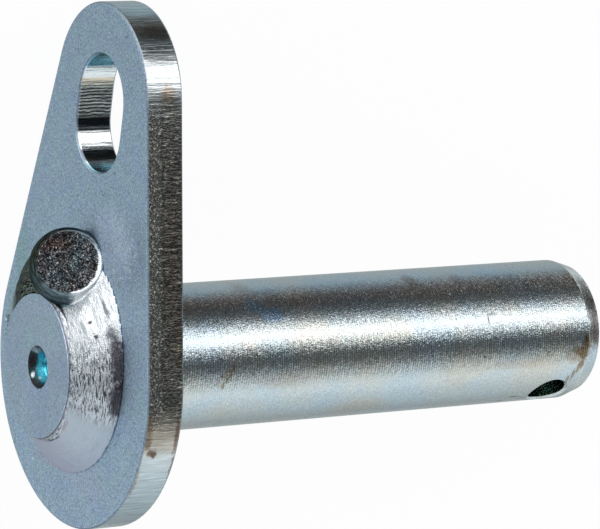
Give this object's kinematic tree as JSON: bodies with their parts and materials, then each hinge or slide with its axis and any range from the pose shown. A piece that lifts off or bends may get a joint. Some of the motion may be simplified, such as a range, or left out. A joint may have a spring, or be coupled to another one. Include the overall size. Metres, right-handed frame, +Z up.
{
  "type": "pivot pin",
  "caption": "Turned steel pivot pin welded through a flat drop-shaped lug with a slot for its retaining bolt, and cross-drilled near the far end for a split pin.",
  "frame": {"origin": "on the bar's axis at the lug's seating face, where the pin seats against what it holds", "axes": "+Z up as the pin lies on the ground, +X along the bar towards its far end, level with the ground, +Y towards the lug's narrow end"},
  "size_m": [0.1335, 0.1068, 0.0649],
  "materials": {
    "plated_bar": "satin",
    "plated_plate": "satin",
    "plated_weld": "satin"
  },
  "bodies": {
    "root": {"pivot_bar": "plated_bar", "retaining_lug": "plated_plate", "weld_bead": "plated_weld"}
  },
  "joints": []
}
